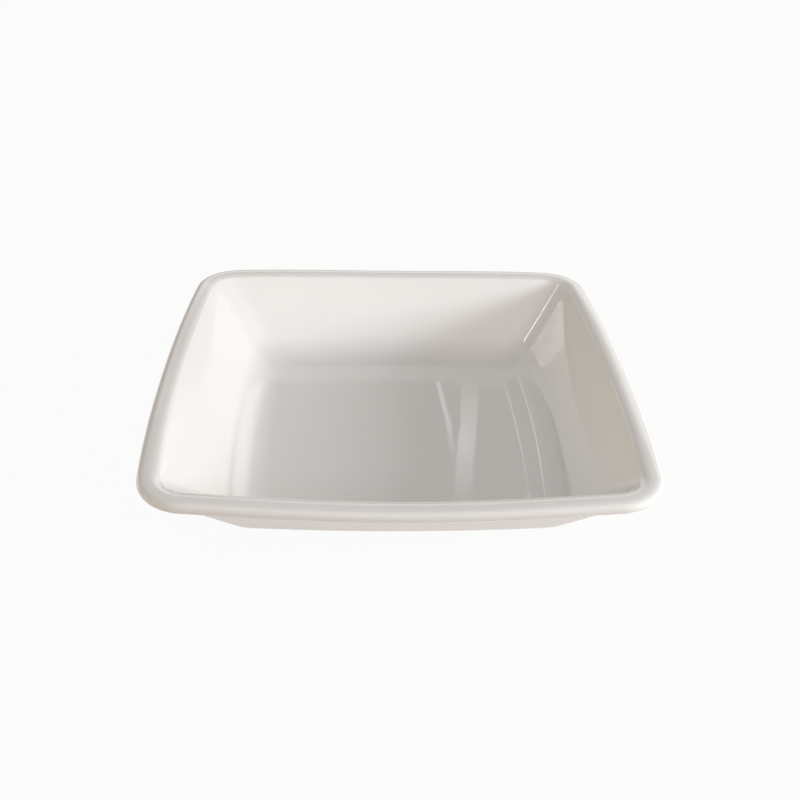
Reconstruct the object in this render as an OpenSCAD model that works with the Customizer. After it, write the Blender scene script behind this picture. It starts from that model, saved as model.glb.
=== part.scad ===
// Square deep plate of white glazed porcelain, standing on a foot ring.
//
// Frame: the origin is the centre of the standing face, +Z is up, and the sides run along X and Y.
// Every surface is a stack of rounded-square rings. The rings follow one cross-section of the plate, taken
// through the middle of a side, where x is the distance from the centre and z the height above the table.

/* [Plate] */
// Width across the rim, from the middle of one side to the middle of the other
plate_w = 190; // [170:1:230]
// Height of the rim's corners above the table
plate_h = 41; // [36:0.5:52]
// Radius of the outward bow of each side, seen from above
side_r = 810; // [400:10:2000]

/* [Rim] */
// Thickness of the rolled rim, from top to bottom
rim_t = 5; // [4:0.1:7]
// Distance from the rim's outer edge to its crest
rim_crest = 4; // [2.5:0.1:6]
// How square the rim's outer shoulder is: 2 makes it part of an ellipse, and more makes it flatter on top
rim_square = 3; // [2:0.1:4]
// Radius of the rim's top, from its crest inwards
rim_top_r = 8.5; // [6:0.5:12]
// How far the rim's top leans inwards, in degrees, where its inner edge begins
rim_lean = 27; // [20:1:35]
// Radius of the rim's inner edge, which turns down into the inside wall
rim_edge_r = 1.2; // [0.8:0.1:2.5]
// Radius of the hollow under the rim
rim_under_r = 3; // [1.5:0.5:5]
// Radius of the rim's outer corners, seen from above
rim_corner_r = 19; // [16:0.5:30]
// How far the rim dips at the middle of each side
rim_dip = 1.2; // [0:0.1:3]

/* [Wall and floor] */
// Thickness of the walls and the floor, with their glaze
wall_t = 4.8; // [4:0.1:6]
// Width of the flat floor inside
floor_w = 102; // [85:1:115]
// Radius of the floor's corners, seen from above
floor_corner_r = 10; // [6:0.5:16]
// Radius of the cove that joins the walls to the floor
cove_r = 23; // [14:1:28]
// Radius of the heel, where the outside wall turns under the base
heel_r = 20; // [10:1:26]

/* [Foot] */
// Width across the outside of the foot ring
foot_w = 112; // [104:1:124]
// Depth of the recess inside the foot ring
foot_h = 4.8; // [3.5:0.1:6]
// Width of the foot ring
foot_ring_w = 5; // [4:0.5:8]
// Radius of the foot's outer corners, seen from above
foot_corner_r = 12; // [10:0.5:20]
// Radius of the hollows where the foot meets the base
foot_fillet_r = 1.8; // [1:0.1:2]
// Radius of the foot's bare lower edges
foot_edge_r = 1.2; // [0.5:0.1:1.4]

/* [Glaze] */
// Thickness of the glaze
glaze_t = 0.3; // [0.15:0.05:0.5]
// Height above the table at which the glaze stops on the foot
glaze_line = 1.5; // [1.4:0.1:1.7]

/* [Hidden] */

// Steps along each side and round each corner of a ring
side_steps = 6;
corner_steps = 8;
// Steps along the section's round stretches
cove_steps = 6;
rim_steps = 4;
fillet_steps = 3;

body_colour = [0.93, 0.92, 0.89];
glaze_colour = [0.96, 0.96, 0.94];

// The section's main places
plate_half = plate_w / 2;
floor_half = floor_w / 2;
foot_half = foot_w / 2;
recess_half = foot_half - foot_ring_w;
floor_z = foot_h + wall_t;
rim_r = rim_t / 2;
// The arcs of the four sides have their centres this far beyond the plate's centre
side_lead = side_r - plate_half;

// Arc centres in the section: the cove, the rim's top, its inner edge and its lower half
cove_centre = [floor_half, floor_z + cove_r];
crest_centre = [plate_half - rim_crest, plate_h - rim_top_r];
edge_centre = crest_centre + (rim_top_r - rim_edge_r) * heading(90 + rim_lean);
rim_centre = [plate_half - rim_r, plate_h - rim_r];

// The wall's slope makes it tangent to the cove and to the rim's inner edge
wall_span = edge_centre - cove_centre;
wall_slope = atan2(wall_span.y, wall_span.x) + asin((rim_edge_r + cove_r) / norm(wall_span));
// Angle of the outside wall's normal
wall_facing = wall_slope - 90;
wall_normal = heading(wall_facing);
mouth_half = edge_centre.x - rim_edge_r * sin(wall_slope);

// How far the outside wall reaches along its normal, and the heel between it and the base's underside
wall_reach = wall_normal * cove_centre + cove_r + wall_t;
heel_z = foot_h + heel_r;
heel_centre = [(wall_reach - heel_r - wall_normal.y * heel_z) / wall_normal.x, heel_z];

// The hollow under the rim touches the outside wall and the rim's lower half
under_gap = wall_reach - wall_normal * rim_centre + rim_under_r;
under_facing = wall_facing - acos(under_gap / (rim_r + rim_under_r));
under_centre = rim_centre + (rim_r + rim_under_r) * heading(under_facing);
wall_top_half = under_centre.x - rim_under_r * wall_normal.x;

// The hollow outside the foot touches its side and the heel, or the underside where the foot is narrower
foot_hollow_x = foot_half + foot_fillet_r;
foot_hollow_run = max(0, foot_hollow_x - heel_centre.x);
foot_hollow_drop = sqrt((heel_r + foot_fillet_r) ^ 2 - foot_hollow_run ^ 2);
foot_hollow_centre = [foot_hollow_x, heel_z - foot_hollow_drop];
foot_facing = atan2(-foot_hollow_drop, foot_hollow_run);

function heading(angle) = [cos(angle), sin(angle)];

// The list from its second entry on
function rest(list) = [for (i = [1 : len(list) - 1]) list[i]];

function reversed(list) = [for (i = [len(list) - 1 : -1 : 0]) list[i]];

// A round stretch of the section. Each entry is [x, z, normal x, normal z], and face is 1 where the surface
// bulges and -1 where it is hollow.
function arc(centre, radius, from, to, steps, face) = [
    for (i = [0 : steps])
        let (d = heading(from + (to - from) * i / steps))
        concat(centre + radius * d, face * d)
];

// The rim's outer shoulder, from its outermost point to the crest: a quarter of a squared ellipse
function shoulder(steps) = [
    for (i = [0 : steps])
        let (d = heading(90 * i / steps))
        let (power = 2 / rim_square)
        let (slant = [d.x ^ (2 - power) / rim_crest, d.y ^ (2 - power) / rim_r])
        concat([crest_centre.x + rim_crest * d.x ^ power, rim_centre.y + rim_r * d.y ^ power], slant / norm(slant))
];

// Corner radius of a ring, added to each entry. Beyond x_rim the corners are concentric with the rim's, and
// below it they run evenly to the radius given at x_low.
function cornered(section, x_low, r_low, x_rim) = [
    for (p = section)
        let (inset = plate_half - max(p[0], x_rim))
        let (share = min(1, (p[0] - x_low) / (x_rim - x_low)))
        concat(p, r_low + (rim_corner_r - inset - r_low) * share)
];

// Corner radius of a ring that is concentric with the foot's outer corners
function footed(section) = [for (p = section) concat(p, foot_corner_r - foot_half + p[0])];

// The heel, from the hollow outside the foot up to the wall
heel_section = arc(heel_centre, heel_r, foot_facing, wall_facing, cove_steps, 1);

// The glazed surface from the foot's side up the outside and over the rim's crest
outside_section = concat(
    [[foot_half, glaze_line, 1, 0]],
    arc(foot_hollow_centre, foot_fillet_r, 180, 180 + foot_facing, fillet_steps, -1),
    foot_hollow_run > 0 ? rest(heel_section) : heel_section,
    arc(under_centre, rim_under_r, 180 + wall_facing, 180 + under_facing, fillet_steps, -1),
    rest(arc(rim_centre, rim_r, under_facing, 0, rim_steps, 1)),
    rest(shoulder(rim_steps))
);

// The glazed surface from the crest down the inside wall to the edge of the flat floor
inside_section = concat(
    rest(arc(crest_centre, rim_top_r, 90, 90 + rim_lean, fillet_steps, 1)),
    rest(arc(edge_centre, rim_edge_r, 90 + rim_lean, 90 + wall_slope, fillet_steps, 1)),
    arc(cove_centre, cove_r, wall_facing, -90, cove_steps, -1)
);

// The glazed surface of the recess, from its roof down the inside of the foot
recess_section = concat(
    arc([recess_half, foot_h] - foot_fillet_r * [1, 1], foot_fillet_r, 90, 0, fillet_steps, -1),
    [[recess_half, glaze_line, -1, 0]]
);

// The bare lower edges and standing face of the foot
sole_section = concat(
    arc([recess_half + glaze_t + foot_edge_r, foot_edge_r], foot_edge_r, 180, 270, fillet_steps, 1),
    arc([foot_half - glaze_t - foot_edge_r, foot_edge_r], foot_edge_r, 270, 360, fillet_steps, 1)
);

coat_skin = concat(
    cornered(outside_section, foot_half, foot_corner_r, wall_top_half),
    cornered(inside_section, floor_half, floor_corner_r, mouth_half)
);
recess_skin = footed(recess_section);

// The surface under the glaze: the same section, moved back along its normals
function under_glaze(skin) = [
    for (p = skin)
        [p[0] - glaze_t * p[2], p[1] - glaze_t * p[3], p[2], p[3], p[4] - glaze_t * p[2]]
];

// One ring of points, counter-clockwise from above. Each side is an arc about a point beyond the centre, and
// each corner an arc that meets two of them smoothly. The rim's dip fades out towards the floor.
function ring(p) =
    let (side = side_lead + p[0])
    let (corner = p[4])
    let (middle = (sqrt(2 * (side - corner) ^ 2 - side_lead ^ 2) - side_lead) / 2)
    let (sweep = atan2(middle, middle + side_lead))
    let (fade = max(0, (p[1] - floor_z) / (plate_h - floor_z)))
    [
        for (turn = [0 : 3], i = [0 : side_steps + corner_steps - 1])
            let (along = i < side_steps ? 2 * i / side_steps - 1 : 1)
            let (round = (i - side_steps) / corner_steps)
            let (at = i < side_steps
                ? side * heading(along * sweep) - [side_lead, 0]
                : corner * heading(sweep + (90 - 2 * sweep) * round) + [middle, middle])
            let (dip = rim_dip * fade * (1 - along ^ 2) ^ 2)
            [
                cos(90 * turn) * at.x - sin(90 * turn) * at.y,
                sin(90 * turn) * at.x + cos(90 * turn) * at.y,
                p[1] - dip
            ]
    ];

// A closed solid through a stack of rings, with a flat face over the first and the last. Which diagonal cuts
// the patches between two rings depends on the rings alone, and not on their order, so that the porcelain and
// the glaze over it meet face to face.
module stack(skin) {
    rings = [for (p = skin) ring(p)];
    count = len(rings[0]);
    last = len(rings) - 1;
    bands = [
        for (k = [0 : last - 1])
            let (outwards = skin[k][0] + skin[k][1] < skin[k + 1][0] + skin[k + 1][1])
            for (i = [0 : count - 1])
                let (a = k * count + i)
                let (b = k * count + (i + 1) % count)
                each outwards
                    ? [[a, b + count, b], [a, a + count, b + count]]
                    : [[a, a + count, b], [b, a + count, b + count]]
    ];
    bottom = [for (i = [0 : count - 1]) i];
    top = [for (i = [count - 1 : -1 : 0]) last * count + i];
    polyhedron(points = [for (r = rings) each r], faces = concat([bottom], bands, [top]), convexity = 6);
}

module porcelain_body() {
    color(body_colour)
        stack(concat(under_glaze(recess_skin), footed(sole_section), under_glaze(coat_skin)));
}

module glaze_coat() {
    color(glaze_colour)
        stack(concat(reversed(under_glaze(coat_skin)), coat_skin));
}

module base_glaze() {
    color(glaze_colour)
        stack(concat(recess_skin, reversed(under_glaze(recess_skin))));
}

porcelain_body();
glaze_coat();
base_glaze();
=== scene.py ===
"""A square deep plate of white porcelain under a clear gloss glaze, standing on a bare foot ring."""
import math

import bpy
from mathutils import Matrix, Vector


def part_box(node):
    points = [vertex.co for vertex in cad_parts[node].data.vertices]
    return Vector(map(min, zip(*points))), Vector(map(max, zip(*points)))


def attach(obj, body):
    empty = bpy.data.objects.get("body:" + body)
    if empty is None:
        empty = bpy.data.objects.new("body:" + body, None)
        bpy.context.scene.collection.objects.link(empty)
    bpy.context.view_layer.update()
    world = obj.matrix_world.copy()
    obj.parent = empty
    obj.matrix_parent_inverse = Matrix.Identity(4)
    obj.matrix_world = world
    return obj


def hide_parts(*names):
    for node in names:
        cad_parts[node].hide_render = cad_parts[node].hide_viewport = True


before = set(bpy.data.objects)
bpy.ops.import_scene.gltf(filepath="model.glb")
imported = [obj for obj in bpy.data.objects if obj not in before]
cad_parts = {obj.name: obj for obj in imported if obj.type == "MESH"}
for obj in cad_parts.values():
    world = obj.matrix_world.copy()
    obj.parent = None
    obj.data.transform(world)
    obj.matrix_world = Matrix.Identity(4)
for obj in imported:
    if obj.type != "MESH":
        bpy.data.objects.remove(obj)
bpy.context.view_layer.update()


# Porcelain body
# The plate itself, pressed in one piece from white porcelain and fired: floor, walls, rolled rim and foot.
# Glaze covers all of it but the foot's standing face, which is wiped bare before the firing and stays matt.

MM = 0.001
glaze_t = 0.3 * MM
glaze_line = 1.5 * MM
plate_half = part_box("glaze_coat")[1].x
plate_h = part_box("glaze_coat")[1].z
side_r = 810 * MM
rim_r = 2.5 * MM
rim_crest = 4 * MM
rim_square = 3
rim_top_r = 8.5 * MM
rim_lean = math.radians(27)
rim_edge_r = 1.2 * MM
rim_under_r = 3 * MM
rim_corner_r = 19 * MM
rim_dip = 1.2 * MM
wall_t = 4.8 * MM
cove_r = 23 * MM
heel_r = 20 * MM
floor_half = 51 * MM
floor_corner_r = 10 * MM
foot_h = 4.8 * MM
foot_ring_w = 5 * MM
foot_corner_r = 12 * MM
foot_fillet_r = 1.8 * MM
foot_edge_r = 1.2 * MM

recess_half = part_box("base_glaze")[1].x - glaze_t
foot_half = recess_half + foot_ring_w
floor_z = foot_h + wall_t
side_lead = side_r - plate_half
heel_z = foot_h + heel_r
RIGHT_ANGLE = math.pi / 2


def heading(angle):
    return Vector((math.cos(angle), math.sin(angle)))


# Arc centres in the cross-section through the middle of a side, where x runs out from the centre and y up
cove_centre = Vector((floor_half, floor_z + cove_r))
crest_centre = Vector((plate_half - rim_crest, plate_h - rim_top_r))
edge_centre = crest_centre + (rim_top_r - rim_edge_r) * heading(RIGHT_ANGLE + rim_lean)
rim_centre = Vector((plate_half - rim_r, plate_h - rim_r))

# The wall is tangent to the cove and to the rim's inner edge
wall_span = edge_centre - cove_centre
wall_slope = math.atan2(wall_span.y, wall_span.x) + math.asin((rim_edge_r + cove_r) / wall_span.length)
wall_facing = wall_slope - RIGHT_ANGLE
wall_normal = heading(wall_facing)
mouth_half = edge_centre.x - rim_edge_r * math.sin(wall_slope)

# The outside wall's distance from the centre along its normal, and the heel that runs from it under the base
wall_reach = wall_normal.dot(cove_centre) + cove_r + wall_t
heel_centre = Vector(((wall_reach - heel_r - wall_normal.y * heel_z) / wall_normal.x, heel_z))

# The hollow under the rim touches the outside wall and the rim's lower half
under_gap = wall_reach - wall_normal.dot(rim_centre) + rim_under_r
under_facing = wall_facing - math.acos(under_gap / (rim_r + rim_under_r))
under_centre = rim_centre + (rim_r + rim_under_r) * heading(under_facing)
wall_top_half = under_centre.x - rim_under_r * wall_normal.x

# The hollow outside the foot touches the foot's side and the heel
foot_hollow_run = foot_half + foot_fillet_r - heel_centre.x
foot_hollow_drop = math.sqrt((heel_r + foot_fillet_r) ** 2 - foot_hollow_run ** 2)
foot_hollow_centre = heel_centre + Vector((foot_hollow_run, -foot_hollow_drop))
foot_facing = math.atan2(-foot_hollow_drop, foot_hollow_run)


def arc(centre, radius, start, end, steps, face):
    """A round stretch of the section as (place, normal) pairs. face is 1 on a bulge and -1 in a hollow."""
    directions = [heading(start + (end - start) * i / steps) for i in range(steps + 1)]
    return [(centre + radius * d, face * d) for d in directions]


def shoulder(steps):
    """The rim's outer shoulder, from its outermost point to the crest: a quarter of a squared ellipse."""
    power = 2 / rim_square
    points = []
    for i in range(steps + 1):
        out, rise = (max(0, share) for share in heading(RIGHT_ANGLE * i / steps))
        place = Vector((crest_centre.x + rim_crest * out ** power, rim_centre.y + rim_r * rise ** power))
        slant = Vector((out ** (2 - power) / rim_crest, rise ** (2 - power) / rim_r))
        points.append((place, slant.normalized()))
    return points


def straight(start, end, steps):
    """The places between two stations of the section, without its ends."""
    shares = [i / steps for i in range(1, steps)]
    return [(start[0].lerp(end[0], share), start[1]) for share in shares]


def cornered(section, low_half, low_corner, rim_half):
    """Adds each ring's corner radius: concentric with the rim's corners beyond rim_half, and below it running
    evenly to the radius given at low_half."""
    rings = []
    for place, normal in section:
        share = min(1, (place.x - low_half) / (rim_half - low_half))
        inset = plate_half - max(place.x, rim_half)
        rings.append((place, normal, low_corner + (rim_corner_r - inset - low_corner) * share))
    return rings


def footed(section):
    """Adds each ring's corner radius, concentric with the foot's outer corners."""
    return [(place, normal, foot_corner_r - foot_half + place.x) for place, normal in section]


def inwards(edge, steps):
    """Rings that shrink from a flat face's edge to its middle."""
    place, normal, corner = edge
    shares = [1 - i / steps for i in range(1, steps + 1)]
    return [(Vector((place.x * share, place.y)), normal, corner * share) for share in shares]


def under_glaze(rings):
    """The surface under the glaze: the same rings, moved back along their normals."""
    return [(place - glaze_t * normal, normal, corner - glaze_t * normal.x)
            for place, normal, corner in rings]


# The glazed surface, from the foot's side up the outside, over the rim and down inside to the floor's edge
foot_side = (Vector((foot_half, glaze_line)), Vector((1, 0)))
foot_hollow = arc(foot_hollow_centre, foot_fillet_r, math.pi, math.pi + foot_facing, 8, -1)
heel = arc(heel_centre, heel_r, foot_facing, wall_facing, 18, 1)
under_rim = arc(under_centre, rim_under_r, math.pi + wall_facing, math.pi + under_facing, 8, -1)
rim_outside = arc(rim_centre, rim_r, under_facing, 0, 12, 1)[1:] + shoulder(14)[1:]
rim_inside = (arc(crest_centre, rim_top_r, RIGHT_ANGLE, RIGHT_ANGLE + rim_lean, 10, 1)[1:]
              + arc(edge_centre, rim_edge_r, RIGHT_ANGLE + rim_lean, RIGHT_ANGLE + wall_slope, 8, 1)[1:])
cove_inside = arc(cove_centre, cove_r, wall_facing, -RIGHT_ANGLE, 22, -1)
outside = ([foot_side] + straight(foot_side, foot_hollow[0], 3) + foot_hollow + heel[1:]
           + straight(heel[-1], under_rim[0], 12) + under_rim + rim_outside)
inside = rim_inside + straight(rim_inside[-1], cove_inside[0], 14) + cove_inside
coat_rings = (cornered(outside, foot_half, foot_corner_r, wall_top_half)
              + cornered(inside, floor_half, floor_corner_r, mouth_half))

# The recess under the floor, from the edge of its roof down the inside of the foot
recess_corner = Vector((recess_half - foot_fillet_r, foot_h - foot_fillet_r))
recess_rings = footed(arc(recess_corner, foot_fillet_r, RIGHT_ANGLE, 0, 8, -1)
                      + [(Vector((recess_half, glaze_line)), Vector((-1, 0)))])

# The foot's bare lower edges, with its standing face between them
sole_rings = footed(arc(Vector((recess_half + glaze_t + foot_edge_r, foot_edge_r)), foot_edge_r,
                        math.pi, 1.5 * math.pi, 8, 1)
                    + arc(Vector((foot_half - glaze_t - foot_edge_r, foot_edge_r)), foot_edge_r,
                          1.5 * math.pi, 2 * math.pi, 8, 1))


class Wire:
    """A socket of a node tree. Arithmetic on it adds Math nodes, and node() adds any other node."""

    def __init__(self, tree, socket=None):
        self.tree = tree
        self.socket = socket

    def node(self, kind, inputs=None, out=0, stops=(), **settings):
        made = self.tree.nodes.new(kind)
        for name, value in settings.items():
            setattr(made, name, value)
        for i, (place, colour) in enumerate(stops):
            stop = made.color_ramp.elements[i] if i < 2 else made.color_ramp.elements.new(place)
            stop.position = place
            stop.color = colour
        for key, value in (inputs or {}).items():
            if isinstance(value, Wire):
                self.tree.links.new(value.socket, made.inputs[key])
            else:
                made.inputs[key].default_value = value
        return Wire(self.tree, made.outputs[out] if made.outputs else None)

    def math(self, operation, *values):
        return self.node("ShaderNodeMath", dict(enumerate(values)), operation=operation)

    def __add__(self, other):
        return self.math("ADD", self, other)

    def __radd__(self, other):
        return self.math("ADD", other, self)

    def __sub__(self, other):
        return self.math("SUBTRACT", self, other)

    def __rsub__(self, other):
        return self.math("SUBTRACT", other, self)

    def __mul__(self, other):
        return self.math("MULTIPLY", self, other)

    def __rmul__(self, other):
        return self.math("MULTIPLY", other, self)

    def __truediv__(self, other):
        return self.math("DIVIDE", self, other)

    def __pow__(self, other):
        return self.math("POWER", self, other)


def rounded_square_tree():
    """Nodes that carry a section line round a rounded square with bowed sides. Each point of the line makes a
    ring, whose corner radius is the point's own "corner" value. The rim's dip fades out towards the floor."""
    tree = bpy.data.node_groups.new("Rounded square", "GeometryNodeTree")
    tree.interface.new_socket("Section", in_out="INPUT", socket_type="NodeSocketGeometry")
    for name in ("Side Lead", "Rim Dip", "Floor Height", "Rim Height"):
        tree.interface.new_socket(name, in_out="INPUT", socket_type="NodeSocketFloat")
    for name in ("Side Steps", "Corner Steps"):
        tree.interface.new_socket(name, in_out="INPUT", socket_type="NodeSocketInt")
    tree.interface.new_socket("Finish", in_out="INPUT", socket_type="NodeSocketMaterial")
    tree.interface.new_socket("Skin", in_out="OUTPUT", socket_type="NodeSocketGeometry")
    given = {s.name: Wire(tree, s) for s in tree.nodes.new("NodeGroupInput").outputs}
    make = Wire(tree)
    section, lead = given["Section"], given["Side Lead"]

    # A sheet with one row for each point of the section and one column for each step round the plate
    steps = given["Side Steps"] + given["Corner Steps"]
    columns = 4 * steps + 1
    rows = make.node("GeometryNodeAttributeDomainSize", {"Geometry": section}, "Point Count",
                     component="MESH")
    sheet = make.node("GeometryNodeMeshGrid", {"Vertices X": rows, "Vertices Y": columns}, "Mesh")
    index = make.node("GeometryNodeInputIndex")
    row = make.math("FLOOR", (index + 0.5) / columns)
    column = index - row * columns
    turn = make.math("FLOOR", (column + 0.5) / steps)
    step = column - turn * steps

    # The section's distance, height and corner radius at this row
    place = make.node("GeometryNodeSampleIndex", {
        "Geometry": section, "Index": row, "Value": make.node("GeometryNodeInputPosition")},
        data_type="FLOAT_VECTOR")
    corner = make.node("GeometryNodeSampleIndex", {
        "Geometry": section, "Index": row,
        "Value": make.node("GeometryNodeInputNamedAttribute", {"Name": "corner"}, data_type="FLOAT")},
        data_type="FLOAT")
    distance = make.node("ShaderNodeSeparateXYZ", {"Vector": place}, "X")
    height = make.node("ShaderNodeSeparateXYZ", {"Vector": place}, "Z")

    # Each side is an arc about a point beyond the centre, and each corner an arc that joins two sides
    along = make.math("MINIMUM", 2 * step / given["Side Steps"] - 1, 1.0)
    round_corner = make.math("MAXIMUM", (step - given["Side Steps"]) / given["Corner Steps"], 0.0)
    side = lead + distance
    middle = (make.math("SQRT", 2 * (side - corner) ** 2.0 - lead * lead) - lead) / 2
    sweep = make.math("ARCTAN2", middle, middle + lead)
    side_angle = along * sweep
    corner_angle = sweep + (RIGHT_ANGLE - 2 * sweep) * round_corner
    on_side = make.node("ShaderNodeCombineXYZ", {
        "X": side * make.math("COSINE", side_angle) - lead, "Y": side * make.math("SINE", side_angle)})
    on_corner = make.node("ShaderNodeCombineXYZ", {
        "X": middle + corner * make.math("COSINE", corner_angle),
        "Y": middle + corner * make.math("SINE", corner_angle)})
    is_side = make.math("LESS_THAN", step, given["Side Steps"] - 0.5)
    flat = make.node("GeometryNodeSwitch", {
        "Switch": is_side, "False": on_corner, "True": on_side}, input_type="VECTOR")
    rise = height - given["Floor Height"]
    fade = make.math("MAXIMUM", rise / (given["Rim Height"] - given["Floor Height"]), 0.0)
    dip = given["Rim Dip"] * fade * (1 - along * along) ** 2.0
    turned = make.node("ShaderNodeVectorRotate", {
        "Vector": flat, "Angle": turn * RIGHT_ANGLE}, rotation_type="Z_AXIS")
    lifted = make.node("ShaderNodeVectorMath", {
        0: turned, 1: make.node("ShaderNodeCombineXYZ", {"Z": height - dip})}, operation="ADD")

    moved = make.node("GeometryNodeSetPosition", {"Geometry": sheet, "Position": lifted})
    seam_gap = 0.001 * MM
    closed = make.node("GeometryNodeMergeByDistance", {"Geometry": moved, "Distance": seam_gap})
    outwards = make.node("GeometryNodeFlipFaces", {"Mesh": closed})
    smooth = make.node("GeometryNodeSetShadeSmooth", {"Geometry": outwards})
    real = make.node("GeometryNodeRealizeInstances", {"Geometry": smooth})
    finished = make.node("GeometryNodeSetMaterial", {"Geometry": real, "Material": given["Finish"]})
    make.node("NodeGroupOutput", {"Skin": finished})
    return tree


rounded_square = rounded_square_tree()


def carried_round(name, rings, finish):
    """A closed piece: the rings' section line, carried round the plate and made a plain mesh."""
    line = bpy.data.meshes.new(name)
    line.from_pydata([(place.x, 0, place.y) for place, _, _ in rings],
                     [(i, i + 1) for i in range(len(rings) - 1)], [])
    line.attributes.new("corner", "FLOAT", "POINT").data.foreach_set("value", [ring[2] for ring in rings])
    piece = bpy.data.objects.new(name, line)
    bpy.context.scene.collection.objects.link(piece)
    side_steps, corner_steps = 40, 24
    sizes = {"Side Lead": side_lead, "Rim Dip": rim_dip, "Floor Height": floor_z, "Rim Height": plate_h,
             "Side Steps": side_steps, "Corner Steps": corner_steps, "Finish": finish}
    nodes = piece.modifiers.new("Rounded square", "NODES")
    nodes.node_group = rounded_square
    for socket in rounded_square.interface.items_tree:
        if socket.name in sizes:
            nodes[socket.identifier] = sizes[socket.name]
    solid = bpy.data.meshes.new_from_object(piece.evaluated_get(bpy.context.evaluated_depsgraph_get()))
    piece.modifiers.remove(nodes)
    piece.data = solid
    return piece


def bare_porcelain_finish():
    """Fired porcelain without glaze: warm white, matt, with a fine grain and faint grey rubbing."""
    material = bpy.data.materials.new("bare_porcelain")
    material.use_nodes = True
    make = Wire(material.node_tree)
    place = make.node("ShaderNodeTexCoord", out="Object")
    grain = make.node("ShaderNodeTexNoise", {"Vector": place, "Scale": 2500.0, "Detail": 3.0}, "Fac")
    rubbing = make.node("ShaderNodeTexNoise", {"Vector": place, "Scale": 120.0, "Detail": 5.0}, "Fac")
    colour = make.node("ShaderNodeValToRGB", {"Fac": rubbing}, "Color", stops=[
        (0.35, (0.62, 0.59, 0.53, 1)), (0.62, (0.80, 0.77, 0.71, 1))])
    shader = material.node_tree.nodes["Principled BSDF"]
    shader.inputs["IOR"].default_value = 1.5
    for key, value in {
            "Base Color": colour,
            "Roughness": 0.62 + 0.2 * grain,
            "Normal": make.node("ShaderNodeBump", {"Height": grain, "Strength": 0.3, "Distance": 0.05 * MM}),
    }.items():
        material.node_tree.links.new(value.socket, shader.inputs[key])
    return material


body_rings = under_glaze(recess_rings) + sole_rings + under_glaze(coat_rings)
body = carried_round("porcelain_form",
                     inwards(body_rings[0], 6)[::-1] + body_rings + inwards(body_rings[-1], 6),
                     bare_porcelain_finish())
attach(body, "root")
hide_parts("porcelain_body")


# Glaze coat
# Clear glass fused over the fired porcelain, so that the whole plate looks white and wet. It runs unbroken
# over the inside, the rim and the outside, down to a line just above the table.

def gloss_glaze_finish():
    """White porcelain through a clear gloss glaze, with faint clouding, a soft ripple and a few pinholes."""
    material = bpy.data.materials.new("gloss_glaze")
    material.use_nodes = True
    make = Wire(material.node_tree)
    place = make.node("ShaderNodeTexCoord", out="Object")
    cloud = make.node("ShaderNodeTexNoise", {"Vector": place, "Scale": 18.0, "Detail": 2.0}, "Fac")
    white = make.node("ShaderNodeValToRGB", {"Fac": cloud}, "Color", stops=[
        (0.3, (0.875, 0.865, 0.84, 1)), (0.7, (0.885, 0.875, 0.85, 1))])
    pits = make.node("ShaderNodeTexVoronoi", {"Vector": place, "Scale": 120.0}, "Distance")
    clear = make.node("ShaderNodeMapRange", {"Value": pits, "From Min": 0.012, "From Max": 0.026})
    pinhole = (0.36, 0.34, 0.3, 1)
    colour = make.node("ShaderNodeMix", {"Factor": clear, 6: pinhole, 7: white}, 2, data_type="RGBA")
    ripple = make.node("ShaderNodeTexNoise", {"Vector": place, "Scale": 28.0, "Detail": 1.0}, "Fac")
    shader = material.node_tree.nodes["Principled BSDF"]
    shader.inputs["IOR"].default_value = 1.62
    for key, value in {
            "Base Color": colour,
            "Roughness": 0.02 + 0.02 * cloud,
            "Normal": make.node("ShaderNodeBump", {"Height": ripple, "Strength": 1.0, "Distance": 0.1 * MM}),
    }.items():
        material.node_tree.links.new(value.socket, shader.inputs[key])
    return material


gloss_glaze = gloss_glaze_finish()
coat_floor = inwards(coat_rings[-1], 16)
coat_back = under_glaze(coat_rings[::3] + coat_rings[-1:])
coat_back_floor = inwards(coat_back[-1], 2)
coat = carried_round("glaze_over_plate",
                     coat_back_floor[::-1] + coat_back[::-1] + coat_rings + coat_floor,
                     gloss_glaze)
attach(coat, "root")
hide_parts("glaze_coat")


# Base glaze
# The same clear glaze, fused over the recess under the floor. The foot ring between it and the coat outside
# is wiped bare, so this is a patch of its own.

recess_roof = inwards(recess_rings[0], 8)
recess_back = under_glaze(recess_rings)
recess = carried_round("glaze_under_base",
                       recess_roof[::-1] + recess_rings + recess_back[::-1] + inwards(recess_back[0], 2),
                       gloss_glaze)
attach(recess, "root")
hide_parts("base_glaze")


# Table
# A plain table top of pale wood under the plate. It shows as white, keeps a soft shadow, and can be seen
# through from below, so that the foot can be looked at.

def white_table_finish():
    material = bpy.data.materials.new("white_table")
    material.use_nodes = True
    tree = material.node_tree
    tree.nodes.remove(tree.nodes["Principled BSDF"])
    make = Wire(tree)
    ray = tree.nodes.new("ShaderNodeLightPath").outputs
    seen = make.math("MINIMUM", Wire(tree, ray["Is Camera Ray"]) + Wire(tree, ray["Is Glossy Ray"])
                     + Wire(tree, ray["Is Transmission Ray"]), 1.0)
    lit = make.node("ShaderNodeBsdfDiffuse", {"Color": (0.62, 0.54, 0.47, 1)})
    white = make.node("ShaderNodeEmission", {"Color": (1, 1, 1, 1), "Strength": 1.0})
    top = make.node("ShaderNodeMixShader", {0: seen * 0.95, 1: lit, 2: white})
    below = make.node("ShaderNodeNewGeometry", out="Backfacing")
    both = make.node("ShaderNodeMixShader", {0: below, 1: top, 2: make.node("ShaderNodeBsdfTransparent")})
    tree.links.new(both.socket, tree.nodes["Material Output"].inputs["Surface"])
    return material


table_half = 4.0
table_top = bpy.data.meshes.new("table_top")
table_top.from_pydata([(-table_half, -table_half, 0), (table_half, -table_half, 0),
                       (table_half, table_half, 0), (-table_half, table_half, 0)], [], [(0, 1, 2, 3)])
table_top.materials.append(white_table_finish())
table = bpy.data.objects.new("table_top", table_top)
bpy.context.scene.collection.objects.link(table)


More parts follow.
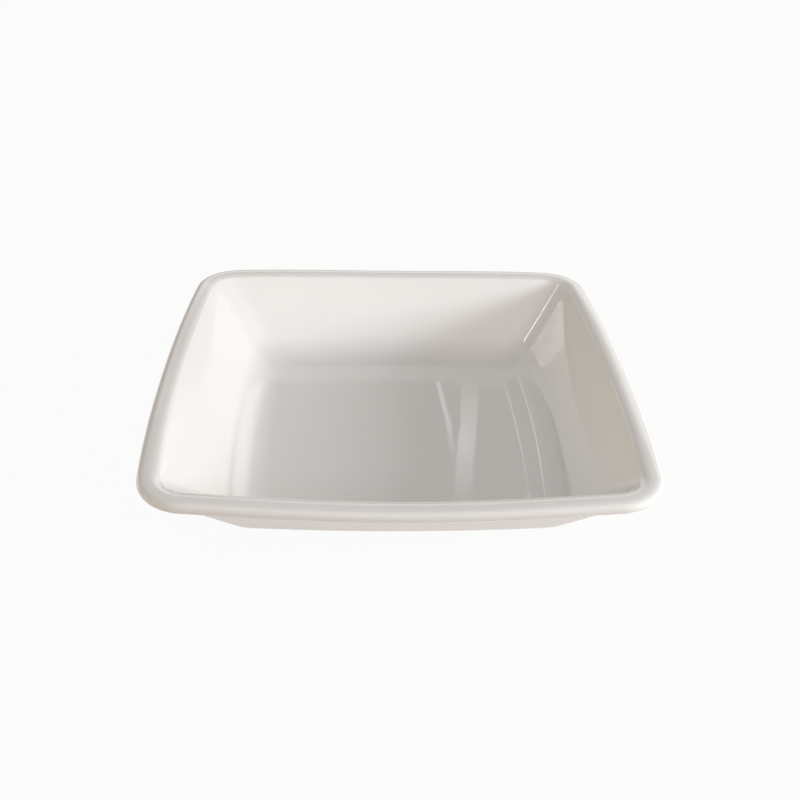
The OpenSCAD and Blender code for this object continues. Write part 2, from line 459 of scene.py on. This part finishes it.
# Light
# Two windows low on the right, one warm and one cool, whose light the right rim keeps off the floor, and a
# faint one low on the left. Slim gaps of light at the back, aimed at the right half of the plate, and a
# ceiling panel show in the glaze. A dim room fills the rest.

def soft_window(name, azimuth, elevation, distance, width, height, watts, colour, lean=0, aside=0, fan=180):
    """A rectangular lamp that faces the middle of the plate, or a point aside of it. Angles are in degrees.
    They run from +X, from the table, and in the lamp's own plane, and fan is how widely its light spreads."""
    lamp = bpy.data.lights.new(name, "AREA")
    lamp.shape = "RECTANGLE"
    lamp.size = width
    lamp.size_y = height
    lamp.energy = watts
    lamp.color = colour
    lamp.spread = math.radians(fan)
    window = bpy.data.objects.new(name, lamp)
    out = heading(math.radians(azimuth))
    rise = heading(math.radians(elevation))
    towards = Vector((rise.x * out.x, rise.x * out.y, rise.y))
    window.location = Vector((0, 0, plate_h / 2)) + distance * towards
    turned = (distance * towards - Vector((aside, 0, 0))).to_track_quat("Z", "Y")
    facing = turned.to_matrix() @ Matrix.Rotation(math.radians(lean), 3, "Z")
    window.rotation_euler = facing.to_euler()
    bpy.context.scene.collection.objects.link(window)


soft_window("warm_window", -6, 14, 1.2, 0.26, 0.22, 7.0, (1, 0.88, 0.78))
soft_window("cool_window", -26, 14, 1.2, 0.26, 0.22, 6.6, (0.66, 0.82, 1))
soft_window("low_window", 150, 6, 1.2, 0.5, 0.12, 1.2, (1, 0.91, 0.62))
gap_reach = {"aside": 48 * MM, "fan": 8}
soft_window("wide_gap", 81.2, 34.5, 1.5, 0.034, 0.27, 0.00008, (1, 0.98, 0.99), **gap_reach)
soft_window("thin_gap", 83.2, 32.6, 1.5, 0.009, 0.14, 0.000013, (1, 0.98, 0.99), lean=14, **gap_reach)
soft_window("far_gap", 103, 33, 1.5, 0.03, 0.3, 0.0001, (1, 0.98, 0.97), **gap_reach)
soft_window("ceiling_panel", 170.5, 50.1, 4.0, 0.45, 0.21, 1.9, (1, 0.97, 0.94))


def dim_room():
    """A soft sky: pale over the camera and behind it, dim at the back, with a doorway and a low glow there.
    The camera sees it as a white wall, and so does the glaze along the horizon."""
    world = bpy.data.worlds.new("dim_room")
    world.use_nodes = True
    make = Wire(world.node_tree)
    towards = make.node("ShaderNodeTexCoord", out="Generated")
    across = make.node("ShaderNodeSeparateXYZ", {"Vector": towards}, "X")
    depth = make.node("ShaderNodeSeparateXYZ", {"Vector": towards}, "Y")
    height = make.node("ShaderNodeSeparateXYZ", {"Vector": towards}, "Z")

    def past(value, start, end):
        return make.node("ShaderNodeMapRange", {"Value": value, "From Min": start, "From Max": end},
                         interpolation_type="SMOOTHSTEP")

    low, middle, top = past(height, 0.03, 0.12), past(height, 0.2, 0.34), past(height, 0.65, 0.85)
    horizon = 1 - past(height, 0.1, 0.24)
    front = (0.5 - 0.5 * depth) ** 2.0
    back = (0.5 + 0.5 * depth) ** 2.0
    left = (0.5 - 0.5 * across) ** 3.0
    right = (0.5 + 0.5 * across) ** 3.0
    doorway = (past(depth, 0.1, 0.4) * past(across, -0.36, -0.16) * (1 - past(across, 0.4, 0.6))
               * (past(height, 0.2, 0.28) - past(height, 0.44, 0.54)))
    sky = None
    for share, colour in ((top * front, (2.4, 2.33, 2.35)),
                          ((middle - top) * front, (0.55, 0.5, 0.44)),
                          ((middle - top) * back, (0.3, 0.3, 0.27)),
                          ((low - middle) * front, (1.65, 1.35, 1.1)),
                          (doorway, (1.3, 1.26, 1.3)),
                          (horizon * back * right, (0.9, 0.86, 0.82)),
                          (horizon * back * left, (1.25, 1.1, 0.8))):
        glow = make.node("ShaderNodeVectorMath", {0: colour, "Scale": share}, operation="SCALE")
        sky = glow if sky is None else make.node("ShaderNodeVectorMath", {0: sky, 1: glow}, operation="ADD")
    ray = world.node_tree.nodes.new("ShaderNodeLightPath").outputs
    camera_ray, glossy_ray, clear_ray = (Wire(world.node_tree, ray[f"Is {kind} Ray"])
                                         for kind in ("Camera", "Glossy", "Transmission"))
    white_wall = camera_ray + (glossy_ray + clear_ray) * (1 - past(height, 0.02, 0.12))
    shown = make.node("ShaderNodeMix", {
        "Factor": white_wall, 6: sky, 7: (0.97, 0.97, 0.97, 1)}, 2, data_type="RGBA")
    shader = world.node_tree.nodes["Background"]
    world.node_tree.links.new(shown.socket, shader.inputs["Color"])
    return world


bpy.context.scene.world = dim_room()
bpy.context.scene.view_settings.view_transform = "Standard"


# Camera
# It looks down into the plate from the front, as the photograph does.

aim = Vector((2.09, 4.76, 21)) * MM
distance = 419.75 * MM
yaw, pitch, roll = (math.radians(angle) for angle in (2.604, 32.492, -1.633))
forward = Vector((math.sin(yaw) * math.cos(pitch), math.cos(yaw) * math.cos(pitch), -math.sin(pitch)))
level_right = Vector((math.cos(yaw), -math.sin(yaw), 0))
level_down = forward.cross(level_right)
right = math.cos(roll) * level_right + math.sin(roll) * level_down
up = math.sin(roll) * level_right - math.cos(roll) * level_down

lens = bpy.data.cameras.new("camera")
lens.sensor_width = 36
lens.lens = 44.44
camera = bpy.data.objects.new("camera", lens)
facing = Matrix((right, up, -forward)).transposed().to_4x4()
camera.matrix_world = Matrix.Translation(aim - distance * forward) @ facing
bpy.context.scene.collection.objects.link(camera)
bpy.context.scene.camera = camera
